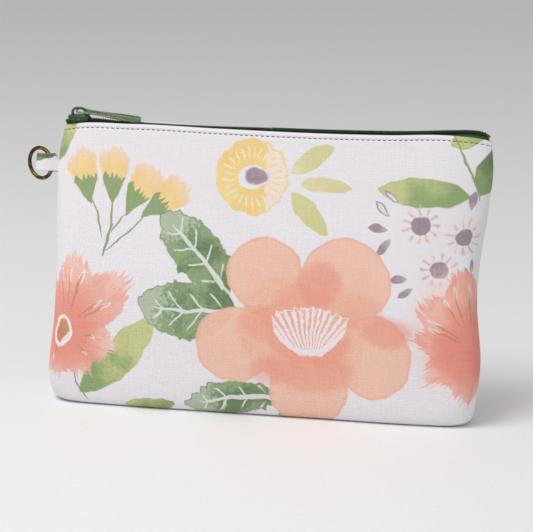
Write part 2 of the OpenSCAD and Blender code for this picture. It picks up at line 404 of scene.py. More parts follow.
def quarter(name, side, face, outside, inside, columns, relief=None, shift=0.0):
    """A closed quarter of the bag's wall, from the middle of a panel to a side seam. relief(z) adds to the
    inset of the outside, and shift insets both sides."""
    points, uvs, climbed, last = [], [], 0.0, None
    for layer in (outside, inside[::-1]):
        for z, inset in layer:
            extra = relief(z) if relief and layer is outside else 0.0
            x, y, steps = wall_row(side, face, z, inset + extra + shift, columns)
            here = np.array((-spline(HALF_DEPTH, z) + inset, z))
            if last is not None:
                climbed += np.linalg.norm(here - last) * (1 if layer is outside else -1)
            last = here
            points.append(np.stack([x, y, raised(x, np.full(columns, z))], 1))
            uvs.append(np.stack([side * steps, np.full(columns, climbed)], 1))
    uvs = np.array(uvs)
    at_60 = int(np.argmin([abs(z - 60) for z, _ in outside]))
    uvs[:, :, 1] += outside[at_60][0] - uvs[at_60, 0, 1]
    rows = len(points)
    faces = grid_faces(rows, columns, wrap_rows=True)
    caps = end_caps(rows, columns)
    flat = range(len(faces), len(faces) + len(caps))
    obj = make_mesh(name, np.array(points).reshape(-1, 3), faces + caps, uvs.reshape(-1, 2), flat)
    return face_outwards(obj)


def hem_line(side, face, inset, columns=400):
    """The (x, y) line of the bag's top edge on one quarter."""
    x, y, _ = wall_row(side, face, HEM_Z, inset, columns)
    return x, y


def open_with(obj):
    """Moves the piece's placement into its mesh, leaving the object at the origin."""
    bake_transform(obj)
    return obj


# ---------------------------------------------------------------- materials
def linear(red, green, blue):
    """A colour given as 0-255 screen values, as the linear values a shader wants."""
    out = []
    for value in (red, green, blue):
        value /= 255
        out.append(value / 12.92 if value <= 0.04045 else ((value + 0.055) / 1.055) ** 2.4)
    return (*out, 1.0)


def new_material(name, roughness, metallic=0.0, sheen=0.0):
    material = bpy.data.materials.new(name)
    material.use_nodes = True
    shader = material.node_tree.nodes["Principled BSDF"]
    shader.inputs["Roughness"].default_value = roughness
    shader.inputs["Metallic"].default_value = metallic
    if sheen:
        shader.inputs["Sheen Weight"].default_value = sheen
        shader.inputs["Sheen Roughness"].default_value = 0.5
    return material, material.node_tree, shader


def paint(obj, material):
    obj.data.materials.clear()
    obj.data.materials.append(material)
    return obj


# ---------------------------------------------------------------- shader building
class Field:
    """A number at each point of a surface, held as a node socket. Arithmetic on fields adds Math nodes."""

    def __init__(self, tree, socket):
        self.tree = tree
        self.socket = socket

    def math(self, kind, *others):
        node = add_node(self.tree, "ShaderNodeMath", enumerate((self, *others)), operation=kind)
        return Field(self.tree, node.outputs[0])

    def __add__(self, other):
        return self.math("ADD", other)

    def __mul__(self, other):
        return self.math("MULTIPLY", other)

    def __sub__(self, other):
        return self.math("SUBTRACT", other)

    def __rsub__(self, other):
        return self.math("MULTIPLY", -1).math("ADD", other)

    __radd__ = __add__
    __rmul__ = __mul__

    def size(self):
        return self.math("ABSOLUTE")

    def least(self, other):
        return self.math("MINIMUM", other)

    def most(self, other):
        return self.math("MAXIMUM", other)

    def zigzag(self, half_pitch):
        """0 at every whole pitch, rising to half a pitch between them."""
        return self.math("PINGPONG", half_pitch)

    def step(self, start, end, top=1.0):
        """A smooth rise from 0 at start to top at end."""
        inputs = {"Value": self, "From Min": start, "From Max": end, "To Max": top}
        node = add_node(self.tree, "ShaderNodeMapRange", inputs, interpolation_type="SMOOTHSTEP", clamp=False)
        return Field(self.tree, node.outputs[0])


nodes_made = {}


def add_node(tree, kind, inputs=(), **settings):
    """A node with its settings and inputs. An input may be a field, a socket or a value.
    A node that is already there with the same inputs is used again, which keeps the shader small."""
    inputs = {key: value.socket if isinstance(value, Field) else value for key, value in dict(inputs).items()}
    recipe = [tree.as_pointer(), kind, *((key, str(value)) for key, value in settings.items())]
    for key, value in inputs.items():
        linked = isinstance(value, bpy.types.NodeSocket)
        recipe.append((key, value.node.name, value.identifier) if linked else (key, value))
    recipe = tuple(recipe)
    if recipe in nodes_made:
        return tree.nodes[nodes_made[recipe]]
    node = tree.nodes.new(kind)
    for key, value in settings.items():
        setattr(node, key, value)
    for key, value in inputs.items():
        if isinstance(value, bpy.types.NodeSocket):
            tree.links.new(value, node.inputs[key])
        else:
            node.inputs[key].default_value = value
    nodes_made[recipe] = node.name
    return node


def vector_math(tree, kind, first, second):
    """Two vectors added, multiplied and so on, as a socket."""
    return add_node(tree, "ShaderNodeVectorMath", {0: first, 1: second}, operation=kind).outputs[0]


def mix_colours(tree, factor, first, second):
    """first where factor is 0 and second where it is 1."""
    inputs = {0: factor, 6: first, 7: second}
    return add_node(tree, "ShaderNodeMix", inputs, data_type="RGBA").outputs[2]


def noise(tree, vector, scale, detail=2.0, offset=None, dimensions="2D"):
    """Smooth noise from 0 to 1; scale is bumps per unit of the vector."""
    if offset is not None:
        vector = vector_math(tree, "ADD", vector, offset)
    inputs = {"Vector": vector, "Scale": scale, "Detail": detail, "Roughness": 0.55}
    return add_node(tree, "ShaderNodeTexNoise", inputs, noise_dimensions=dimensions)


def cloth_place(tree):
    """The place on the cloth in mm, along and up, as a vector."""
    return add_node(tree, "ShaderNodeUVMap", uv_map="cloth").outputs[0]


# ---------------------------------------------------------------- the printed flowers
REPEAT_WIDE = 300  # the print repeats after this far along the cloth
REPEAT_TOP, REPEAT_BOTTOM = 162, -30  # and between these heights up it
CREAM = (247, 241, 240)
GROUND = (239, 235, 239)
PEACH, PEACH_DEEP, PEACH_LIGHT = (243, 177, 149), (241, 148, 121), (246, 199, 176)
CORAL, CORAL_DEEP, CORAL_PALE = (242, 160, 138), (232, 130, 110), (248, 212, 202)
RUST = (196, 122, 84)
YELLOW, YELLOW_DEEP, BUTTER = (247, 222, 146), (248, 206, 124), (249, 236, 204)
LEAF, LEAF_DEEP, LEAF_PALE = (139, 163, 112), (90, 123, 68), (196, 211, 184)
LIME, LIME_DEEP, LIME_PALE = (202, 204, 136), (136, 164, 98), (232, 224, 172)
PLUM, PLUM_PALE = (156, 132, 144), (190, 170, 178)
STEM = (146, 160, 116)


def far_out(across, up):
    """How far a place is from its origin."""
    return (across * across + up * up).math("SQRT")


class Print:
    """Watercolour shapes laid one over another. Places and sizes are in mm on the cloth."""

    def __init__(self, tree, place):
        self.tree = tree
        wobble = noise(tree, place, 0.07, 2.0).outputs["Color"]
        centred = vector_math(tree, "SUBTRACT", wobble, (0.5, 0.5, 0.5))
        pushed = vector_math(tree, "MULTIPLY", centred, (4, 4, 0))
        self.place = vector_math(tree, "ADD", place, pushed)
        self.colour = add_node(tree, "ShaderNodeRGB").outputs[0]
        self.colour.default_value = linear(*GROUND)

    def motif(self, name, seed, draw):
        """Draws one part of the design inside its own node group, over what is there already."""
        group = bpy.data.node_groups.new(name, "ShaderNodeTree")
        group.interface.new_socket("Place", in_out="INPUT", socket_type="NodeSocketVector")
        group.interface.new_socket("Under", in_out="INPUT", socket_type="NodeSocketColor")
        group.interface.new_socket("Colour", in_out="OUTPUT", socket_type="NodeSocketColor")
        enter = group.nodes.new("NodeGroupInput").outputs
        leave = group.nodes.new("NodeGroupOutput").inputs
        inner = copy.copy(self)
        inner.tree, inner.colour = group, enter["Under"]
        # a trace of the colour below in the place makes the renderer work the motifs out one by one, because
        # it has too little room for all of them at once
        inputs = {0: enter["Under"], 1: (1e-5, 1e-5, 0), 2: enter["Place"]}
        inner.place = add_node(group, "ShaderNodeVectorMath", inputs, operation="MULTIPLY_ADD").outputs[0]
        shift = (seed * 37.0, seed * 11.0, 0)
        inner.tone = Field(group, noise(group, inner.place, 0.055, 3.0, shift).outputs["Fac"]).step(0.32, 0.68)
        inner.fine = Field(group, noise(group, inner.place, 0.42, 3.0, shift).outputs["Fac"]) - 0.5
        draw(inner)
        group.links.new(inner.colour, leave["Colour"])
        inputs = {"Place": self.place, "Under": self.colour}
        node = self.tree.nodes.new("ShaderNodeGroup")
        node.node_tree = group
        for key, socket in inputs.items():
            self.tree.links.new(socket, node.inputs[key])
        self.colour = node.outputs["Colour"]

    def local(self, x, z, turn=0.0, size=(1.0, 1.0)):
        """How far each point lies from (x, z) along a turned direction and across it, divided by size."""
        c, s = math.cos(math.radians(turn)), math.sin(math.radians(turn))
        apart = vector_math(self.tree, "SUBTRACT", self.place, (x, z, 0))
        fields = []
        for axis in ((c / size[0], s / size[0], 0), (-s / size[1], c / size[1], 0)):
            node = add_node(self.tree, "ShaderNodeVectorMath", {0: apart, 1: axis}, operation="DOT_PRODUCT")
            fields.append(Field(self.tree, node.outputs["Value"]))
        return fields

    def fibres(self, along, across, width=1.0):
        """Brush marks from -0.5 to 0.5: noise drawn out lengthwise."""
        inputs = {0: along * (0.11 / width), 1: across * (1 / width)}
        drawn_out = add_node(self.tree, "ShaderNodeCombineXYZ", inputs).outputs[0]
        return Field(self.tree, noise(self.tree, drawn_out, 0.5, 2.0).outputs["Fac"]) - 0.5

    def shade(self, light, deep, amount):
        """A colour between two, by a field from 0 to 1."""
        return mix_colours(self.tree, amount, linear(*light), linear(*deep))

    def wash(self, inside, colour, soft=0.4, strength=1.0):
        """Lays a colour where inside, the distance in from the shape's edge, is above 0."""
        if isinstance(colour, tuple):
            colour = linear(*colour)
        cover = inside.step(-soft, soft, strength)
        self.colour = mix_colours(self.tree, cover, self.colour, colour)

    def blob(self, x, z, across, up, turn=0.0):
        """Distance in from the edge of an oval with these half-sizes."""
        return (1 - far_out(*self.local(x, z, turn, (across, up)))) * min(across, up)

    def blade(self, x, z, length, width, turn, bend=0.0, fat=False):
        """A pointed leaf: distance in from its edge, the place along it from -1 to 1, and across it in mm."""
        along, across = self.local(x, z, turn, (length / 2, 1))
        square = along * along
        if bend:
            across = across + square * bend
        if fat:
            square = square * square * 0.55 + square * 0.45
        return (1 - square) * (width / 2) - across.size(), along, across

    def stroke(self, x1, z1, x2, z2, width, colour, bend=0.0, soft=0.25, strength=1.0):
        """A thin line with a slight bow, tapering to both ends."""
        length = math.hypot(x2 - x1, z2 - z1)
        turn = math.degrees(math.atan2(z2 - z1, x2 - x1))
        along, across = self.local((x1 + x2) / 2, (z1 + z2) / 2, turn, (length / 2, 1))
        square = along * along
        if bend:
            across = across + square * bend - bend
        inside = ((1 - square * 0.6) * (width / 2) - across.size()).least((1 - along.size()) * (length / 2))
        self.wash(inside + self.fine * 0.3, colour, soft, strength)

    def leaf(self, x, z, length, width, turn, light, deep, bend=0.0):
        """A smooth leaf, deeper in colour towards one end."""
        inside, along, across = self.blade(x, z, length, width, turn, bend, fat=True)
        self.wash(inside, self.shade(light, deep, (along + self.tone * 0.9 + self.fine).step(-0.5, 1.1)))
        self.wash((0.9 - inside).least(inside), self.shade(light, deep, self.tone * 0.5 + 0.5), 0.6, 0.35)

    def veined_leaf(self, x, z, length, width, turn, bend=0.0):
        """A notched dark leaf, pale and thin at its tip, with a white middle rib and a few side veins."""
        inside, along, across = self.blade(x, z, length, width, turn, bend, fat=True)
        reach = along * (length / 2)
        notches = (reach + across * 0.5 + self.tone * 3).zigzag(3.1) * self.tone
        inside = inside + notches * 0.8 + self.fine * 2.2 - 0.4
        tint = self.tone * 0.8 + self.fine * 1.1 + (across.size() * (-2 / width)) * 0.35 + 0.2
        self.wash(inside, self.shade(LEAF, LEAF_DEEP, tint.step(-0.05, 0.95)), 0.45)
        thin = (along * -1 + self.tone * 0.35 + self.fine * 1.2).step(0.42, 0.85) * inside.step(0.4, 1.2)
        self.colour = mix_colours(self.tree, thin * 0.72, self.colour, linear(*LEAF_PALE))
        rib = (1.0 + along * 0.55).least((along + 0.72) * 4) - across.size()
        slant = (reach + across.size() * 0.85 + 2.0).zigzag(5.6)
        side_length = width * 0.3 - across.size() + self.fine * 2
        vein = (0.6 - slant).least(side_length * 0.4).least(along.size() * -4 + 2.6)
        self.wash(rib.most(vein).least((1.05 - along) * 9) + self.fine * 0.6, (226, 234, 226), 0.3, 0.94)

    def drop(self, x, z, length, width, turn, filled=True):
        """A small drop, thick at one end."""
        inside, along, across = self.blade(x, z, length, width, turn)
        inside = inside + along * (width * 0.16)
        self.wash(inside, self.shade(PLUM_PALE, PLUM, (self.fine + along).step(-0.9, 0.4)), 0.3, 0.95)
        if not filled:
            self.wash(inside - 0.75, GROUND, 0.3, 0.85)

    def bud(self, x, z, turn):
        """A narrow yellow tuft in a grassy green cup, growing from (x, z) at an angle from upright."""
        across, up = self.local(x, z, turn)
        brush = self.fibres(up, across)
        fan = (up * 0.26 + 3.1 - across.size()).least((29 - up - across * across * 0.05) * 0.8).least(up - 9)
        ragged = fan + brush * up.step(14, 30, 7.0) + self.fine * 1.6
        tint = (up + self.fine * 8 + brush * 8).step(18, 28)
        self.wash(ragged, self.shade(YELLOW_DEEP, CORAL_PALE, tint), 1.1, 0.95)
        self.wash((across.size() * -0.3 + 1.2).least(ragged - 1), YELLOW, 1.6, 0.6)
        grass = (13.5 - up + brush * 9 + across.zigzag(1.15) * 1.6) * 0.8
        cup = (up * 0.48 + 0.5 - across.size()).least(6.6 - across.size()).least(grass).least(up + 0.5)
        green = self.shade(LEAF, LIME_DEEP, (brush + self.tone * 0.4).step(-0.2, 0.5))
        self.wash(cup + self.fine * 0.5, green, 0.35)

    def small_daisy(self, x, z, radius, seed):
        """A plum dot in a ring of thin, uneven coral strokes."""
        across, up = self.local(x, z)
        far = far_out(across, up)
        spoke = (up.math("ARCTAN2", across) + seed).zigzag(math.pi / 11)
        ray = (0.075 - spoke) * 8 + self.fine * 2.4
        ring = (far - radius - 1.0).least(radius + 4.6 - far) + self.fine * 5
        self.wash(ray.least(ring), self.shade((244, 190, 164), PLUM_PALE, self.tone * 0.6), 0.4, 0.85)
        dot = self.shade(PLUM_PALE, PLUM, self.fine.step(-0.5, 0.0))
        self.wash(radius - far + self.fine * 1.2, dot, 0.35)

    def daisy(self, x, z, radius):
        """A broad yellow flower with pale dashes round a plum eye, faded to pinkish white on one side."""
        across, up = self.local(x, z)
        far = far_out(across, up)
        angle = up.math("ARCTAN2", across)
        edge = radius - far + angle.zigzag(math.pi / 14) * 4 + self.fine * 2.4
        self.wash(edge, self.shade(YELLOW, YELLOW_DEEP, self.tone * 0.8 + self.fine * 0.8), 0.45)
        faded = (across - radius * 0.4 + self.fine * 3).least(edge - 1.1)
        self.wash(faded, (247, 232, 226), 1.0, 0.9)
        dash = (0.034 - (angle + self.fine * 0.06).zigzag(math.pi / 25)) * 13
        ring = (far - radius * 0.55).least(radius * 0.83 - far) + self.fine * 5
        pale = self.shade(BUTTER, YELLOW, across.step(radius * 0.35, radius * 0.55))
        self.wash(dash.least(ring), pale, 0.3, 0.9)
        self.wash(self.blob(x + 0.6, z, 8.3, 6.0, 6) + self.fine * 0.8, (240, 237, 242), 0.4)
        eye = self.blob(x + 2.3, z + 0.7, 6.1, 4.3, -4) + self.fine
        self.wash(eye, self.shade(PLUM_PALE, PLUM, (self.fine + self.tone * 0.4).step(-0.2, 0.5)), 0.7)

    def torn_petal(self, x, z, reach, width, turn, deep):
        """A broad petal from (x, z) with a frayed, paler end."""
        along, across = self.local(x, z, turn)
        brush = self.fibres(along, across, 0.8)
        half = (along * 0.34 + width * 0.22).least(width / 2) - across.size()
        end = reach - along - across * across * (2.2 / width)
        inside = half.least(end + brush * along.step(reach * 0.45, reach, 15.0)) + self.fine * 2.2
        outer = (along + brush * 14 + self.fine * 8).step(reach * 0.35, reach * 1.12)
        brushed = (brush * 1.4 + self.tone * 0.5 + deep).step(0.05, 0.9)
        tint = mix_colours(self.tree, brushed, self.shade(CORAL, CORAL_PALE, outer), linear(*CORAL))
        self.wash(inside, tint, 0.8, 0.96)

    def ragged_flower(self, x, z, petals, deep=0.0):
        """A coral flower of torn petals, given as (turn, reach, width), deeper towards its middle."""
        for turn, reach, width in petals:
            self.torn_petal(x, z, reach, width, turn, deep)
        near = self.blob(x, z, 17, 17) + self.fine * 6 + self.tone * 3
        self.wash(near, CORAL_DEEP, 8.0, 0.5 + deep)

    def streaks(self, x, z, marks):
        """Brush lines out of (x, z), as (turn, from, to, width): a rust line with a cream end."""
        for turn, start, end, width in marks:
            c, s = math.cos(math.radians(turn)), math.sin(math.radians(turn))
            tip, past = end - (end - start) * 0.3, end * 1.06
            line = (x + c * tip, z + s * tip, x + c * past, z + s * past)
            self.stroke(*line, width * 1.7, CREAM, 0, 0.5, 0.8)
            line = (x + c * start, z + s * start, x + c * end, z + s * end)
            self.stroke(*line, width, RUST, 0.5, 0.3, 0.75)

    def big_flower(self, x, z):
        """Five wide peach petals round a fan of cream stamens."""
        petals = [
            (-22, 26, 20, 18.5, 10), (21.5, 24, 24, 21.5, -20), (-36.5, -12, 20.5, 20, 0),
            (37, -15, 19.5, 22, 15), (3, -33, 21, 21, 0),
        ]
        near = far_out(*self.local(x, z, 0, (38, 34)))
        tint = (self.tone * 0.5 + self.fine * 0.5 + 0.9 - near).step(-0.2, 1.5)
        self.wash(self.blob(x, z - 3, 35, 29), PEACH, 1.5)
        for across, up, half_wide, half_tall, turn in petals:
            inside = self.blob(x + across, z + up, half_wide, half_tall, turn) + self.fine * 0.5
            self.wash(inside, self.shade(PEACH_LIGHT, PEACH, tint + 0.25), 0.5, 0.93)
            self.wash((1.2 - inside).least(inside), PEACH_DEEP, 0.7, 0.3)
        pools = [(8, 21, 11, 12, 0.6), (44, -2, 13, 7.5, 0.65), (-22, 0, 12, 8, 0.5), (-19, -25, 9, 7, 0.55)]
        pools += [(6, -25, 21, 11, 0.55), (30, 8, 12, 9, 0.25), (-2, 12, 14, 8, 0.25)]
        for across, up, half_wide, half_tall, strength in pools:
            pool = self.blob(x + across, z + up, half_wide, half_tall) + self.fine * 2
            self.wash(pool, PEACH_DEEP, 2.6, strength)
        bowl = self.blob(x + 3, z - 8, 21.5, 12) + self.fine
        self.wash(bowl.least(0 - self.blob(x + 3, z + 2, 24, 14)), CORAL, 1.0, 0.8)
        across, up = self.local(x + 3, z - 22)
        far = far_out(across, up)
        angle = across.math("ARCTAN2", up)
        scallops = (angle + 0.03).zigzag(0.075) * 22
        floor = up - 5.5 - across * across * 0.034
        crown = 30 - up - across * across * 0.012 + scallops + self.fine * 4
        sides = 18.5 + up * 0.06 - across.size()
        fan = crown.least(floor).least(sides)
        self.wash(fan + self.fine * 1.2, (245, 238, 240), 0.5, 0.95)
        wave = (angle + self.fine * 0.05).zigzag(0.062)
        gaps = (0.016 + far * 0.00025 - wave) * 34
        lower = gaps.least(floor - 3.2).least(20.5 - up + self.fine * 5)
        upper = (gaps + 0.25).least(up - 20).least(31 - up) + self.fine * 1.6
        self.wash(lower.most(upper).least(fan - 0.6), self.shade(PEACH_DEEP, PEACH, self.tone), 0.35, 0.85)


# Where the parts of the design lie, in mm on the cloth, with turns in degrees.
# Each bud is (x, z, turn), a stem (from x, z, to x, z, width, bow), a petal (turn, reach, width), a streak
# (turn, from, to, width) and a drop (x, z, length, width, turn, filled).
BUDS = [(-95, 107.5, 19), (-83.5, 107.5, 0), (-75.5, 102.5, -29), (-66, 101.5, -50)]
STEMS = [
    (-94.5, 109, -89, 90, 1.0, 0.8), (-83.5, 109, -83.5, 94, 1.2, 0.0), (-76, 103, -83, 93, 1.1, -0.5),
    (-65, 102, -86, 83, 1.0, 0.8), (-82.5, 98, -87.5, 80, 1.9, -0.4),
]
DROPS = [
    (66, 117, 10.5, 3.2, 137, False), (62, 110.5, 10.5, 3.6, 142, False), (60, 101, 11, 4.6, 175, True),
    (63.5, 92.5, 11, 3.8, 235, True), (72, 76.5, 9.5, 4, 188, True), (75.5, 70, 9.5, 3.4, 220, True),
    (107, 116, 10.5, 4.8, 80, True), (110.5, 83, 7, 2.8, 100, True), (107.5, 78, 9.5, 3.2, 115, True),
]
LEFT_PETALS = [
    (225, 30, 26), (180, 30, 26), (132, 36, 26), (-100, 24, 24), (-58, 26, 24), (-14, 30, 24), (41, 46, 25),
    (80, 42, 21),
]
LEFT_STREAKS = [(72, 13, 33, 1.5), (83, 15, 32, 0.7), (94, 14, 31, 0.7), (40, 12, 27, 0.9), (33, 14, 30, 1.0)]
LEFT_STREAKS += [(-8, 12, 17, 0.9), (-40, 10, 17, 0.7), (-112, 8, 16, 0.8)]
RIGHT_PETALS = [
    (-50, 28, 24), (0, 30, 24), (50, 36, 24), (-98, 29, 24), (214, 30, 22), (172, 31, 18), (140, 36, 25),
    (102, 40, 24),
]
RIGHT_STREAKS = [
    (158, 7, 25, 1.0), (150, 9, 27, 0.9), (124, 13, 28, 0.9), (112, 14, 31, 0.8), (95, 12, 30, 0.8),
]


def right_corner(art):
    art.leaf(103, 148, 20, 9, 30, LIME, LIME_DEEP)
    art.leaf(117, 133, 30, 15, 60, LIME_DEEP, LEAF_DEEP)
    art.stroke(95, 149, 111, 117, 1.4, STEM, 1.6)
    art.leaf(82, 120, 48, 15, -3, LIME, LIME_DEEP)


def left_corner(art):
    art.leaf(-114, 144, 34, 13, 66, LIME_DEEP, LIME)
    art.leaf(-139, 154, 24, 9, 14, LIME_DEEP, LEAF_DEEP)


def small_daisies(art):
    for seed, (x, z, radius) in enumerate(((81.5, 103.5, 4.9), (104.5, 98, 4.6), (91.5, 81.5, 4.6))):
        art.small_daisy(x, z, radius, seed)


def drops(art):
    for x, z, length, width, turn, filled in DROPS:
        art.drop(x, z, length, width, turn, filled)


def yellow_daisy(art):
    art.leaf(23, 136, 27, 9.5, 36, LIME_PALE, (218, 210, 152), 1.0)
    art.leaf(31, 122.5, 29, 8, -3, LIME_PALE, (218, 210, 152), 0.6)
    art.leaf(23, 107, 29, 10, -47, (218, 210, 152), (212, 208, 142))
    art.daisy(-8.5, 125, 19.0)


def yellow_buds(art):
    for x1, z1, x2, z2, width, bend in STEMS:
        art.stroke(x1, z1, x2, z2, width, STEM, bend)
    for x, z, turn in BUDS:
        art.bud(x, z, turn)


def right_flower(art):
    bleed = art.blob(94, 50, 13, 26) + art.fine * 16
    art.wash(bleed, CORAL_PALE, 7.0, 0.75)
    art.ragged_flower(112, 42, RIGHT_PETALS, 0.25)
    art.streaks(112, 42, RIGHT_STREAKS)


def low_leaves(art):
    art.leaf(-77, 27, 60, 18, 47, LIME_DEEP, LIME, -2)
    art.leaf(-60, 2, 28, 9, 5, LIME, LIME_DEEP)
    art.stroke(-101.5, 18, -94, 3, 0.9, (128, 140, 112), -1.5)


def left_flower(art):
    art.ragged_flower(-108.5, 39, LEFT_PETALS)
    art.streaks(-108.5, 39, LEFT_STREAKS)
    eye = art.blob(-108.5, 39, 3.8, 6.2, -12) + art.fine * 0.6
    art.wash(eye + 1.3, CREAM, 0.35)
    art.wash(eye, art.shade(RUST, (222, 156, 112), art.tone), 0.4)
    art.wash(art.blob(-106.4, 36, 0.9, 4.2, -28), CREAM, 0.4, 0.85)


def dark_leaves(art):
    art.veined_leaf(-36, 85, 56, 26, -47, 2)
    art.veined_leaf(-40, 54, 54, 30, 0, -2)
    art.veined_leaf(-15, 9, 52, 18, 9, 1.5)
    art.veined_leaf(24, -1, 30, 8, -4)


def big_flower(art):
    art.big_flower(22.5, 50)


def flower_print(tree, place):
    """The whole printed design, as a colour socket."""
    art = Print(tree, place)
    motifs = [right_corner, left_corner, small_daisies, drops, yellow_daisy, yellow_buds, right_flower]
    motifs += [low_leaves, left_flower, dark_leaves, big_flower]
    for seed, draw in enumerate(motifs):
        art.motif(draw.__name__, seed + 1, draw)
    return art


# ---------------------------------------------------------------- fabrics
def weave(tree, place, pitch):
    """Plain weave: how far each thread stands up, -1 to 1, and how much the threads vary, 0 to 1."""
    parts = add_node(tree, "ShaderNodeSeparateXYZ", {0: place}).outputs
    across = Field(tree, parts[0]) * (math.pi / pitch)
    up = Field(tree, parts[1]) * (math.pi / pitch)
    over = across.math("SINE") * up.math("SINE")
    threads = []
    for stretch in ((0.07, 1.5, 1), (1.5, 0.07, 1)):
        long_way = vector_math(tree, "MULTIPLY", place, stretch)
        threads.append(Field(tree, noise(tree, long_way, 1.0, 2.0).outputs["Fac"]))
    return over, (threads[0] + threads[1]) * 0.5


def bumped(tree, shader, height, depth_mm):
    """Feeds a height from -1 to 1 into the shader's normal."""
    inputs = {"Height": height, "Distance": depth_mm * MM, "Strength": 1.0}
    bump = add_node(tree, "ShaderNodeBump", inputs)
    tree.links.new(bump.outputs[0], shader.inputs["Normal"])


def cotton(name, light, deep, pitch, depth_mm):
    """Plain woven cotton in one colour, a little uneven."""
    material, tree, shader = new_material(name, 0.9, sheen=0.1)
    place = cloth_place(tree)
    over, threads = weave(tree, place, pitch)
    blotch = Field(tree, noise(tree, place, 0.03, 3.0).outputs["Fac"])
    amount = (threads + over * 0.25 + blotch * 0.5).step(0.3, 1.2)
    tree.links.new(mix_colours(tree, amount, linear(*deep), linear(*light)), shader.inputs["Base Color"])
    bumped(tree, shader, over * 0.5 + threads, depth_mm)
    return material


def zip_tape_weave():
    """Ribbed polyester tape: fine ribs along it, with a herringbone that leans one way and then the other."""
    material, tree, shader = new_material("zip_tape_weave", 0.8, sheen=0.15)
    place = cloth_place(tree)
    parts = add_node(tree, "ShaderNodeSeparateXYZ", {0: place}).outputs
    along, across = Field(tree, parts[0]), Field(tree, parts[1])
    ribs = across.zigzag(0.7)
    chevron = ((along + ribs * 1.2) * (math.pi / 0.4)).math("SINE")
    fuzz = Field(tree, noise(tree, place, 0.9, 3.0).outputs["Fac"])
    amount = (chevron * 0.3 + ribs * 0.5 + fuzz).step(0.1, 1.1)
    colour = mix_colours(tree, amount, linear(52, 92, 52), linear(98, 144, 88))
    tree.links.new(colour, shader.inputs["Base Color"])
    bumped(tree, shader, chevron * 0.5 + ribs, 0.08)
    return material


def object_place(tree, stretch=(1, 1, 1)):
    """The place on a hard piece in mm, squeezed by stretch."""
    raw = add_node(tree, "ShaderNodeTexCoord").outputs["Object"]
    return vector_math(tree, "MULTIPLY", raw, tuple(value / MM for value in stretch))


def worn_metal(name, deep, base, wear_and_highlight_colour, roughness, metallic, stretch=(1, 1, 1), wear_and_highlight_level=0.62):
    """Metal or painted metal: broad uneven colour, and small bright places that are partly rubbed wear and
    partly painted highlight.
    """
    material, tree, shader = new_material(name, roughness, metallic)
    place = object_place(tree, stretch)
    broad = Field(tree, noise(tree, place, 0.35, 3.0, dimensions="3D").outputs["Fac"])
    grain = Field(tree, noise(tree, place, 2.6, 4.0, (9, 4, 2), "3D").outputs["Fac"])
    colour = mix_colours(tree, (broad + grain * 0.4).step(0.45, 0.9), linear(*deep), linear(*base))
    # the bright places are partly rubbed wear and partly painted highlight laid into the colour
    lightened = (grain * 0.6 + broad * 0.5).step(wear_and_highlight_level - 0.06, wear_and_highlight_level + 0.08)
    tree.links.new(mix_colours(tree, lightened * 0.8, colour, linear(*wear_and_highlight_colour)), shader.inputs["Base Color"])
    tree.links.new((grain * 0.25 + roughness - 0.12).socket, shader.inputs["Roughness"])
    bumped(tree, shader, grain + broad, 0.04)
    return material


def nylon(name, deep, light):
    """Dyed nylon wire, duller where it is handled."""
    material, tree, shader = new_material(name, 0.55)
    shader.inputs["Specular IOR Level"].default_value = 0.25
    place = object_place(tree)
    wear = Field(tree, noise(tree, place, 0.7, 3.0, dimensions="3D").outputs["Fac"])
    colour = mix_colours(tree, wear.step(0.3, 0.75), linear(*deep), linear(*light))
    tree.links.new(colour, shader.inputs["Base Color"])
    tree.links.new((wear * 0.3 + 0.4).socket, shader.inputs["Roughness"])
    return material


def twisted_thread(name, deep, light):
    """Sewing thread: slanting strands of two shades."""
    material, tree, shader = new_material(name, 0.8, sheen=0.1)
    raw = object_place(tree)
    parts = add_node(tree, "ShaderNodeSeparateXYZ", {0: raw}).outputs
    slant = (Field(tree, parts[0]) + Field(tree, parts[2]) * 0.9) * (2 * math.pi / 0.42)
    strand = slant.math("SINE")
    fuzz = Field(tree, noise(tree, raw, 1.3, 2.0, dimensions="3D").outputs["Fac"])
    amount = (strand * 0.35 + fuzz).step(0.1, 0.95)
    tree.links.new(mix_colours(tree, amount, linear(*deep), linear(*light)), shader.inputs["Base Color"])
    bumped(tree, shader, strand, 0.05)
    return material


def floor_paint():
    """Matt pale paint with the faintest roller texture."""
    material, tree, shader = new_material("floor_paint", 0.55)
    place = object_place(tree)
    roller = Field(tree, noise(tree, place, 0.4, 3.0, dimensions="3D").outputs["Fac"])
    colour = mix_colours(tree, roller.step(0.2, 0.8), linear(241, 240, 241), linear(245, 245, 246))
    tree.links.new(colour, shader.inputs["Base Color"])
    bumped(tree, shader, roller, 0.02)
    return material


def printed_canvas():
    material, tree, shader = new_material("printed_canvas", 0.88, sheen=0.12)
    raw = cloth_place(tree)
    parts = add_node(tree, "ShaderNodeSeparateXYZ", {0: raw}).outputs
    along = Field(tree, parts[0]).math("WRAP", REPEAT_WIDE / 2, -REPEAT_WIDE / 2)
    up = Field(tree, parts[1]).math("WRAP", REPEAT_TOP, REPEAT_BOTTOM)
    place = add_node(tree, "ShaderNodeCombineXYZ", {0: along, 1: up}).outputs[0]
    art = flower_print(tree, place)
    over, threads = weave(tree, raw, 0.64)
    lightened = (over * 0.7 + threads).step(0, 1.2) * 0.17
    faded = mix_colours(tree, lightened, art.colour, linear(*GROUND))
    value = threads * 0.18 + over * 0.055 + 0.89
    tinted = add_node(tree, "ShaderNodeVectorMath", {0: faded, "Scale": value}, operation="SCALE").outputs[0]
    tree.links.new(tinted, shader.inputs["Base Color"])
    bumped(tree, shader, over * 0.5 + threads * 1.4, 0.15)
    return material


# ---------------------------------------------------------------- camera, light and floor
def look_from(azimuth, elevation, distance, target):
    """A place distance away from target: azimuth 0 looks along +Y and turns towards +X."""
    az, el = math.radians(azimuth), math.radians(elevation)
    back = Vector((math.sin(az) * math.cos(el), -math.cos(az) * math.cos(el), math.sin(el)))
    return Vector(target) + back * distance, back


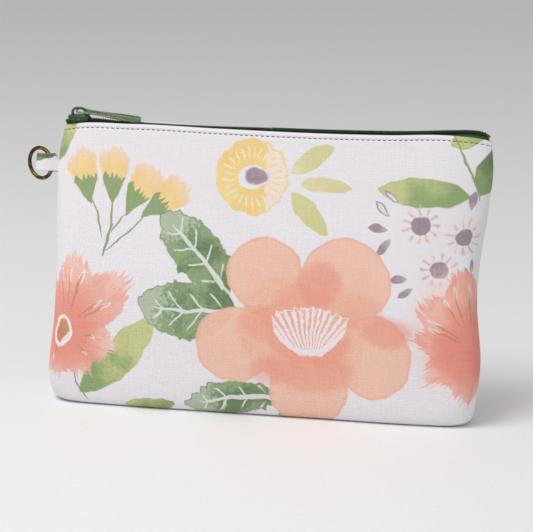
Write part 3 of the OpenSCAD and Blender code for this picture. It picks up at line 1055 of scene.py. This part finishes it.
def add_camera():
    data = bpy.data.cameras.new("camera")
    data.sensor_width = 36
    data.lens = 156
    data.clip_end = 20
    camera = bpy.data.objects.new("camera", data)
    place, back = look_from(13.5, 12.6, 1.219, (-0.0033, 0, 0.0744))
    camera.location = place
    camera.rotation_euler = back.to_track_quat("Z", "Y").to_euler()
    bpy.context.scene.collection.objects.link(camera)
    bpy.context.scene.camera = camera


def add_area_light(name, azimuth, elevation, distance, size, watts):
    data = bpy.data.lights.new(name, "AREA")
    data.shape = "SQUARE"
    data.size = size
    data.energy = watts
    light = bpy.data.objects.new(name, data)
    place, back = look_from(azimuth, elevation, distance, (0, 0, 0.07))
    light.location = place
    light.rotation_euler = back.to_track_quat("Z", "Y").to_euler()
    bpy.context.scene.collection.objects.link(light)


def add_floor():
    size = 3000
    corners = [(-size, -size, 0), (size, -size, 0), (size, size, 0), (-size, size, 0)]
    floor = make_mesh("floor", corners, [(0, 1, 2, 3)])
    paint(floor, floor_paint())


def add_studio():
    scene = bpy.context.scene
    scene.view_settings.view_transform = "Standard"
    world = bpy.data.worlds.new("studio")
    scene.world = world
    world.use_nodes = True
    world.node_tree.nodes["Background"].inputs["Color"].default_value = linear(222, 222, 222)
    world.node_tree.nodes["Background"].inputs["Strength"].default_value = 0.62
    add_area_light("key", -38, 58, 1.6, 0.9, 15.5)
    add_area_light("fill", 60, 30, 1.8, 1.2, 1.8)
    add_floor()


# ---------------------------------------------------------------- the cloth pieces
def hem_relief(z):
    """The turned-over band stands a little proud, and the stitch line pulls it in."""
    drop = HEM_Z - z
    band = -0.3 * ease((drop - 0.5) / 0.8) * (1 - ease((drop - STITCH_DROP + 0.9) / 0.9))
    groove = 0.22 * math.exp(-(((drop - STITCH_DROP) / 0.5) ** 2))
    return float(band + groove)


def wall_levels():
    """Outside and inside rows of the canvas, with closer rows near the top edge."""
    outside, inside = levels(1.5, CANVAS, HEM_Z - 8, 0.0)
    outside, inside = outside[:-5], inside[:-5]
    wall_top = HEM_Z - HEM_ROLL
    for z in np.arange(HEM_Z - 7.6, wall_top, 0.4):
        outside.append((z, 0.0))
        inside.append((z, 2 * HEM_ROLL))
    for a in arc(15, 80, 5):
        outside.append((wall_top + HEM_ROLL * math.sin(a), HEM_ROLL * (1 - math.cos(a))))
        inside.append((wall_top + HEM_ROLL * math.sin(a), HEM_ROLL * (1 + math.cos(a))))
    return outside, inside


def quarters():
    """Each quarter of the bag: which way it faces and which side it is, with the words for them."""
    for face, panel in ((FRONT, "front"), (BACK, "back")):
        for side, end in ((LEFT, "left"), (RIGHT, "right")):
            yield face, panel, side, end


def build_canvas(material):
    outside, inside = wall_levels()
    for face, panel, side, end in quarters():
        shell = quarter(f"{panel}_canvas_{end}", side, face, outside, inside, 110, hem_relief)
        paint(shell, material)
        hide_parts(f"{panel}_canvas", f"{panel}_padding", f"{end}_side_canvas")
        open_with(shell)


def build_lining(material):
    gap = 2 * HEM_ROLL + 0.15
    outside, inside = levels(3.0, LINING, HEM_Z - 2.5, LINING / 2)
    for face, panel, side, end in quarters():
        shell = quarter(f"{panel}_lining_{end}", side, face, outside, inside, 60, shift=gap)
        paint(shell, material)
        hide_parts(f"{panel}_lining", f"{end}_side_lining")
        open_with(shell)


def base_sheet(name, inset, z_low, thickness, crown):
    """A flat sheet with the bag's own outline, raised a little in the middle."""
    around = []
    for side, face in ((LEFT, FRONT), (RIGHT, FRONT), (RIGHT, BACK), (LEFT, BACK)):
        x, y, _ = wall_row(side, face, 0.5, inset, 60)
        points = np.stack([x, y], 1)
        if side * face > 0:
            points = points[::-1]
        around.append(points[:-1])
    outline = np.concatenate(around)
    count = len(outline)
    shares = np.linspace(1, 0.04, 14)
    points, uvs = [], []
    for upper in (False, True):
        for share in shares[::-1] if upper else shares:
            lift = crown * (1 - share**2) + (thickness if upper else 0)
            ring = outline * share
            points.append(np.column_stack([ring, np.full(count, z_low + lift)]))
            uvs.append(ring + (0, -70))
    faces = grid_faces(len(points), count, wrap_rows=True, wrap_columns=True)
    middle = len(shares)
    del faces[(middle - 1) * count : middle * count]
    for ring in (middle - 1, middle):
        faces.append(tuple(range(ring * count, (ring + 1) * count)))
    obj = make_mesh(name, np.array(points).reshape(-1, 3), faces, np.array(uvs).reshape(-1, 2))
    return face_outwards(obj)


def build_base(canvas, lining):
    shell = paint(base_sheet("base_canvas_panel", UNDER - 3, 0.45, CANVAS, 0.8), canvas)
    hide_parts("base_canvas", "base_padding")
    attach(shell, "pouch")
    inner = paint(base_sheet("base_lining_panel", BASE_ROLL + 2, 2.4, LINING, 0.6), lining)
    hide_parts("base_lining")
    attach(inner, "pouch")


# ---------------------------------------------------------------- the zip
# Height of the coil's top along the bag, as (x, z)
COIL_TOP = [
    (-115, 146.4), (-112.5, 148.3), (-109, 149.7), (-98, 149.9), (-84, 149.0), (-60, 148.3), (0, 148.3),
    (40, 148.5), (75, 149.4), (95, 150.6), (105, 150.9), (109.5, 150.4), (112.3, 149.2), (114.2, 147.3),
    (115.4, 145.4),
]
COIL_PITCH = 1.3
WIRE = 0.32  # radius of the coil's nylon wire
COIL_RISE = 0.62  # half the height of the coil, to the wire's middle
COIL_OVERLAP = 0.25  # how far each coil reaches over the middle line, into the other
ZIP_ENDS = {LEFT: -112.4, RIGHT: 114.8}  # where the tapes end
COIL_SHORT = 2.5  # the coil stops this far short of that
TAPE_WIDE = 12
TAPE_SEWN_IN = 8  # how far below the hem the tape's outer edge lies
TAPE_EDGE = 0.45  # its other edge lies this far from the middle line, under the coil
TAPE_UNDER = (0.25, 0.3)  # its underside lies this far in and down from its upper side


def coil_top(x):
    return spline(COIL_TOP, x)


def coil_middle(x):
    return coil_top(x) - COIL_RISE - WIRE


def build_tapes(material):
    for face, panel, side, end in quarters():
        x_line, y_line = hem_line(side, face, 2 * HEM_ROLL - 0.35)
        xs = np.linspace(0, abs(ZIP_ENDS[side]), 150) * side
        order = np.argsort(x_line)
        hem_y = np.abs(np.interp(xs, x_line[order], y_line[order]))
        hem_z = raised(xs, np.full(len(xs), HEM_Z))
        crest = coil_top(xs) - 2 * COIL_RISE - 0.25
        root = np.minimum(TAPE_EDGE, hem_y)
        count = 15
        upper, lower, uvs = [], [], []
        for share in np.linspace(0, 1, count):
            bend = share**1.5
            y = hem_y + (root - hem_y) * bend
            z = (hem_z - TAPE_SEWN_IN) + (crest - hem_z + TAPE_SEWN_IN) * (1 - (1 - share) ** 2.2)
            upper.append(np.stack([xs, face * y, z], 1))
            lower.append(np.stack([xs, face * np.maximum(y - TAPE_UNDER[0], 0), z - TAPE_UNDER[1]], 1))
            uvs.append(np.stack([xs, np.full(len(xs), share * TAPE_WIDE)], 1))
        points = np.array(upper + lower[::-1])
        rows, columns = points.shape[:2]
        faces = grid_faces(rows, columns, wrap_rows=True)
        faces += end_caps(rows, columns)
        uv = np.array(uvs + uvs[::-1]).reshape(-1, 2)
        tape = face_outwards(make_mesh(f"{panel}_zip_tape_{end}", points.reshape(-1, 3), faces, uv))
        paint(tape, material)
        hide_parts(f"{panel}_zip_tape", f"{end}_zip_tape_end")
        open_with(tape)


def build_coils(material):
    """A nylon wire wound round a thin cord, on each side of the zip."""
    reach = (COIL_HALF + COIL_OVERLAP) / 2
    for face, panel, side, end in quarters():
        turns = (abs(ZIP_ENDS[side]) - COIL_SHORT) / COIL_PITCH
        steps = np.linspace(0, turns, int(turns * 12)) + (0.5 if face == FRONT else 0)
        x = side * steps * COIL_PITCH
        turn = 2 * math.pi * steps
        out = reach - COIL_OVERLAP - reach * np.cos(turn)
        path = np.stack([x, face * out, coil_middle(x) + COIL_RISE * np.sin(turn)], 1)
        wire = sweep("wire", path, round_section(WIRE, 6))
        x = np.linspace(0, x[-1], 60)
        path = np.stack([x, np.full(60, face * (reach - COIL_OVERLAP)), coil_middle(x)], 1)
        cord = sweep("cord", path, boxy_section(reach * 0.7, COIL_RISE * 0.5, 10, 3))
        coil = paint(joined(f"{panel}_zip_coil_{end}", [wire, cord]), material)
        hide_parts(f"{panel}_zip_coil", f"{end}_zip_coil_end")
        open_with(coil)


STITCH_PITCH, STITCH_LENGTH, THREAD = 2.8, 2.5, 0.27


def build_hem_stitches(material):
    z = HEM_Z - STITCH_DROP
    for face, panel, side, end in quarters():
        x_row, y_row, steps = wall_row(side, face, z, hem_relief(z) + 0.02, 600)
        pairs = []
        for start in np.arange((STITCH_PITCH - STITCH_LENGTH) / 2, steps[-1] - 3, STITCH_PITCH):
            ends = np.array([start, start + STITCH_LENGTH])
            x, y = np.interp(ends, steps, x_row), np.interp(ends, steps, y_row)
            up = raised(x, np.full(2, z)) + 0.07 * np.sin(ends * 1.7)
            out = np.array([-(y[1] - y[0]) * face * -side, 0, 0]) + (0, face, 0.1)
            pairs.append(((x[0], y[0], up[0]), (x[1], y[1], up[1]), out))
        row = paint(stitches(f"{panel}_hem_stitches_{end}", pairs, THREAD), material)
        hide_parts(f"{panel}_hem_stitches")
        open_with(row)


# ---------------------------------------------------------------- slider, pull and stops
SLIDER_LENGTH = SLIDER_HIGH[0] - SLIDER_LOW[0]
SLIDER_HALF = SLIDER_HIGH[1]
SLIDER_SHAPE = [(0, 0), (0.03, 0.5), (0.13, 0.88), (0.28, 1), (0.62, 0.86), (0.88, 0.76), (0.97, 0.5), (1, 0)]
PLATE = 1.0  # thickness of each slider plate
SPARE = 0.15  # the upper plate stands out this much more, above and below
UNDER_PLATE = 1.5  # half-width of the plate that runs inside the bag, between the two edges
LIP = (0.42, 0.85)  # half-thickness and half-height of the lips along the upper plate
NOSE = (1.6, 0.8)  # half-length and half-width of the post that parts the coils


def slider_outline(shrink=0.0, count=28):
    """The slider from above: wide at the nose on the left, narrower at the tail."""
    share = (1 - np.cos(np.linspace(0, math.pi, count))) / 2
    half = np.maximum(spline(SLIDER_SHAPE, share) * SLIDER_HALF - shrink, 0)
    x = SLIDER_LOW[0] + shrink + share * (SLIDER_LENGTH - 2 * shrink)
    near = np.stack([x, -half], 1)
    far = np.stack([x, half], 1)[::-1]
    return np.concatenate([near, far[1:-1]])


def build_slider(material):
    top, bottom = SLIDER_HIGH[2], SLIDER_LOW[2]
    parts = [
        plate("upper_plate", [slider_outline()], top - PLATE - SPARE, top + SPARE, 0.45),
        plate("lower_plate", [slider_outline(SLIDER_HALF - UNDER_PLATE)], bottom, bottom + PLATE, 0.3),
    ]
    share = np.linspace(0.1, 0.96, 26)
    half = spline(SLIDER_SHAPE, share) * SLIDER_HALF - 0.5
    for face in (FRONT, BACK):
        x = SLIDER_LOW[0] + share * SLIDER_LENGTH
        lip = np.stack([x, face * half, np.full(len(share), top - PLATE - 0.55)], 1)
        parts.append(sweep("lip", lip, boxy_section(*LIP, 12, 4)))
    nose = [(SLIDER_LOW[0] + NOSE[0] * (1 + math.cos(a)), NOSE[1] * math.sin(a)) for a in arc(0, 345, 24)]
    parts.append(plate("nose_post", [nose], bottom + 0.5, top - 0.5, 0.1))
    body = paint(joined("slider_plates", parts), material)
    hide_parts("slider_body")
    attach(body, "slider")
    build_bridge(material)


def build_bridge(material):
    """The arch the pull hangs on: a flat strap bent up from the nose and down to the tail."""
    thick = 0.55
    middle = (BRIDGE_LOW[0] + BRIDGE_HIGH[0]) / 2
    half = (BRIDGE_HIGH[0] - BRIDGE_LOW[0]) / 2 - thick
    rise = BRIDGE_HIGH[2] - BRIDGE_LOW[2] - thick
    path = []
    for a in arc(180, 0, 40):
        up = math.sin(a)
        x = middle + squared(math.cos(a), 0.75) * half - 0.6 * up
        path.append((x, 0, BRIDGE_LOW[2] + up**0.8 * rise))
    path = [(path[0][0], 0, BRIDGE_LOW[2] - 0.6), *path, (path[-1][0], 0, BRIDGE_LOW[2] - 0.6)]
    strap = sweep("slider_arch", path, boxy_section(thick, BRIDGE_HIGH[1], 16, 4), across=(0, 1, 0))
    paint(strap, material)
    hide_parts("slider_bridge")
    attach(strap, "slider")


PULL_SHAPE = [  # (share of the length, half-width)
    (-0.062, 0), (-0.056, 1.0), (-0.026, 2.1), (0.024, 2.5), (0.12, 2.35), (0.22, 1.9), (0.36, 2.1),
    (0.6, 2.75), (0.86, 3.2), (0.95, 3.0), (0.985, 2.1), (1.0, 0),
]
PULL_START = PULL_SHAPE[0][0] * PULL_LENGTH
PULL_SLOPE = 7.0  # degrees down from the arch to the tip as it rests
PULL_ROLL = 20  # degrees that its front edge has dropped
PULL_THICK = 1.1
SLOT_MIDDLE, SLOT_HALF = 1.1, (2.3, 1.65)  # the slot for the arch


def pull_outline(shrink=0.0, start=PULL_START, end=PULL_LENGTH, count=60):
    share = (1 - np.cos(np.linspace(0, math.pi, count))) / 2
    x = start + (end - start) * share
    half = np.maximum(spline(PULL_SHAPE, x / PULL_LENGTH) - shrink, 0.0)
    half[0] = half[-1] = 0
    return np.concatenate([np.stack([x, -half], 1), np.stack([x, half], 1)[::-1][1:-1]])


def build_pull(material):
    """A flat painted tab with a slot for the arch and a shallow raised rim."""
    slot = []
    for a in arc(0, 352.5, 48):
        across, up = squared(math.cos(a), 0.6), squared(math.sin(a), 0.6)
        slot.append((SLOT_MIDDLE + SLOT_HALF[0] * across, SLOT_HALF[1] * up))
    half = PULL_THICK / 2
    parts = [plate("tab", [pull_outline(), slot], -half + 0.1, half - 0.1, 0.3)]
    rim_out = pull_outline(0.35, PULL_LENGTH * 0.2, PULL_LENGTH - 0.4)
    rim_in = pull_outline(1.05, PULL_LENGTH * 0.25, PULL_LENGTH - 1.3)
    for low_z in (-half, half - 0.3):
        parts.append(plate("rim", [rim_out, rim_in], low_z, low_z + 0.3, 0.12))
    tab = paint(joined("pull_plate", parts), material)
    slope = Matrix.Rotation(math.radians(PULL_SLOPE), 4, "Y")
    roll = Matrix.Rotation(math.radians(PULL_ROLL), 4, "X")
    tab.data.transform(Matrix.Translation(Vector(PULL_HINGE * MM)) @ slope @ roll)
    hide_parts("pull_tab")
    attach(tab, "pull")


def clamp(x, y, half_wide):
    """A small metal clamp that follows the coil's slope."""
    ends = [(end, y, coil_top(end) - 0.8) for end in (x - 0.75, x + 0.75)]
    return sweep("clamp", np.linspace(*ends, 5), boxy_section(half_wide, 1.05, 16, 4))


def build_stops(material):
    """The clamps that end the coil: one on each tape at the closed end, one across both at the other."""
    closed_x, far_x = ZIP_ENDS[LEFT] + 1, ZIP_ENDS[RIGHT] - 2
    closed_end = joined("zip_top_clamps", [clamp(closed_x, -1.3, 1.0), clamp(closed_x, 1.3, 1.0)])
    far_end = joined("zip_bottom_clamp", [clamp(far_x, 0, 1.8)])
    for obj, node in ((closed_end, "zip_top_stops"), (far_end, "zip_bottom_stop")):
        paint(obj, material)
        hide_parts(node)
        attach(obj, "pouch")


# ---------------------------------------------------------------- side loop and ring
LOOP_HALF_THICK = 0.45
LOOP_HALF_GAP = LOOP_HIGH[1] - LOOP_HALF_THICK
LOOP_SKEW = 1.1  # how much lower the strip's back half is sewn in
LOOP_CUT_FROM = (-128, 148.3)  # where on the printed cloth the loop's strip was cut
LOOP_STITCH_UP = 3.5  # how far the rows of stitches lie from the strip's middle
LOOP_STITCH_SCALE = 0.85  # their length beside the hem's stitches
LOOP_THREAD = 0.17


def loop_path(count=90):
    """The folded strip seen from above: out from the side seam along the front, round the ring and back."""
    reach = LOOP_HIGH[0] - LOOP_LOW[0] - LOOP_HALF_THICK
    share = np.linspace(0, 1, count)
    x = np.sin(share * math.pi) ** 0.62 * reach
    y = -np.cos(share * math.pi)
    belly = 0.35 + (LOOP_HALF_GAP - 0.35) * ease(x / reach * 1.25)
    y = np.sign(y) * np.abs(y) ** 0.7 * belly
    z = LOOP_MID_Z + LOOP_SKEW * (0.5 - ease(share * 2 - 0.6))
    return np.stack([LOOP_HIGH[0] + 0.6 - x, y, z], 1)


def build_loop(canvas, thread):
    path = loop_path()
    section = boxy_section(LOOP_HALF_THICK, (LOOP_HIGH[2] - LOOP_LOW[2] - LOOP_SKEW) / 2, 48, 9)
    strip = sweep("side_loop_strip", path, section, uvs=True)
    places = np.zeros(len(strip.data.loops) * 2, np.float32)
    layer = strip.data.uv_layers["cloth"].data
    layer.foreach_get("uv", places)
    places = places.reshape(-1, 2) * (-1, 1) + LOOP_CUT_FROM
    layer.foreach_set("uv", places.astype(np.float32).ravel())
    paint(strip, canvas)
    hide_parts("side_loop")
    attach(strip, "loop")
    build_loop_stitches(path, thread)


def build_loop_stitches(path, thread):
    pairs = []
    run = np.concatenate([[0], np.cumsum(np.linalg.norm(np.diff(path, axis=0), axis=1))])
    for up in (-LOOP_STITCH_UP, LOOP_STITCH_UP):
        for start in np.arange(2.2, run[-1] - 4, STITCH_PITCH * LOOP_STITCH_SCALE):
            ends = np.array([start, start + STITCH_LENGTH * LOOP_STITCH_SCALE])
            x, y, z = (np.interp(ends, run, path[:, k]) for k in range(3))
            out = np.array([-(y[1] - y[0]), x[1] - x[0], 0])
            out *= np.sign(out[1] * (y[0] + y[1])) if abs(y[0] + y[1]) > 0.5 else -np.sign(out[0])
            out /= np.linalg.norm(out)
            lift = out * (LOOP_HALF_THICK + 0.02)
            start_at = np.array([x[0], y[0], z[0] + up]) + lift
            end_at = np.array([x[1], y[1], z[1] + up]) + lift
            pairs.append((start_at, end_at, out))
    rows = paint(stitches("loop_edge_stitches", pairs, LOOP_THREAD), thread)
    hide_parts("side_loop_stitches")
    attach(rows, "loop")


RING_WIRE = 1.05  # radius


def build_ring(material):
    """A round wire ring with a fine butt joint, hanging in the loop."""
    middle = (RING_LOW + RING_HIGH) / 2
    radius = (RING_HIGH[2] - RING_LOW[2]) / 2 - RING_WIRE
    pivot = joint_at("ring_swing")
    outwards = middle - pivot
    outwards[2] = 0
    outwards /= np.linalg.norm(outwards)
    upwards = np.array([0, 0, 1])
    path = [middle + radius * (math.cos(a) * outwards + math.sin(a) * upwards) for a in arc(232, 591, 120)]
    across = np.cross(outwards, upwards)
    ring = paint(sweep("ring_wire", path, round_section(RING_WIRE, 20), across=tuple(across)), material)
    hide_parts("ring")
    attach(ring, "ring")


# ---------------------------------------------------------------- build everything
add_camera()
add_studio()
canvas_finish = printed_canvas()
lining_finish = cotton("lining_cotton", (232, 230, 220), (212, 210, 200), 0.5, 0.08)
tape_finish = zip_tape_weave()
coil_finish = nylon("zip_coil_nylon", (22, 42, 24), (40, 66, 38))
thread_finish = twisted_thread("hem_thread", (56, 60, 62), (96, 102, 104))
build_canvas(canvas_finish)
build_lining(lining_finish)
build_base(canvas_finish, lining_finish)
build_tapes(tape_finish)
build_coils(coil_finish)
build_hem_stitches(thread_finish)
slider_finish = worn_metal("slider_paint", (36, 58, 34), (58, 84, 50), (104, 124, 84), 0.38, 0.35)
# the pull's pale lengthwise streaks are partly rubbed paint and partly painted highlight
pull_colours = ((76, 92, 62), (108, 122, 90), (160, 168, 138))
pull_finish = worn_metal("pull_paint", *pull_colours, 0.34, 0.5, (0.12, 1.6, 1), 0.56)
# the brass's golden spots are partly rubbed-through wear and partly painted highlight
ring_finish = worn_metal("antique_brass", (58, 40, 26), (98, 74, 48), (176, 136, 78), 0.3, 1.0)
build_slider(slider_finish)
build_pull(pull_finish)
build_stops(slider_finish)
build_loop(canvas_finish, thread_finish)
build_ring(ring_finish)
